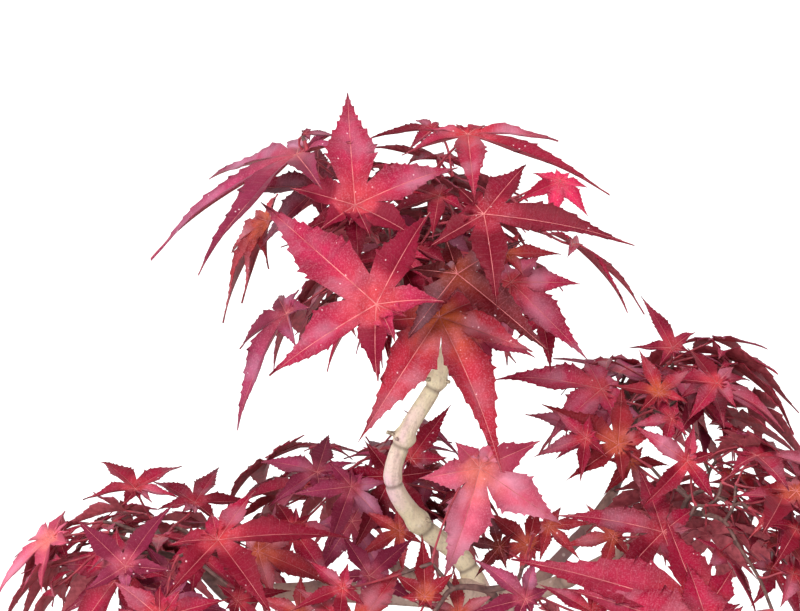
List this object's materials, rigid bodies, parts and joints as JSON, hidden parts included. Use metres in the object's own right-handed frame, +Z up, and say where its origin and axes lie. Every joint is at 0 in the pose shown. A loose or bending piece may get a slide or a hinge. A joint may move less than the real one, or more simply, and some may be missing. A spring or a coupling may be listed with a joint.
{
  "type": "maple bonsai",
  "caption": "Potted red-leaved maple bonsai: a curved tapering trunk with side boughs, layered masses of lobed leaves and a domed top, in a plain oval tray pot.",
  "frame": {"origin": "on the surface that the pot stands on, under the middle of the pot", "axes": "+Z up along the tree, -Y towards the tree's front, +X to the right seen from the front"},
  "size_m": [0.224, 0.168, 0.3395],
  "materials": {
    "pot_clay": "unglazed brown stoneware, matt",
    "soil": "loose granular soil",
    "trunk_bark": "smooth tan bark with pale marks",
    "bough_bark": "smooth brown bark",
    "leaves": "thin crimson leaves on red stalks"
  },
  "bodies": {
    "root": {"pot": "pot_clay", "soil": "soil", "trunk": "trunk_bark", "bough_left": "bough_bark", "bough_right": "bough_bark", "bough_right_back": "bough_bark", "bough_back_left": "bough_bark", "bough_centre": "bough_bark", "bough_low_left": "bough_bark", "bough_low_right": "bough_bark", "bough_low_back": "bough_bark", "leaves_apex": "leaves", "leaves_left": "leaves", "leaves_back_left": "leaves", "leaves_centre": "leaves", "leaves_right": "leaves", "leaves_right_back": "leaves", "leaves_low_left": "leaves", "leaves_low_right": "leaves", "leaves_low_back": "leaves"}
  },
  "joints": []
}
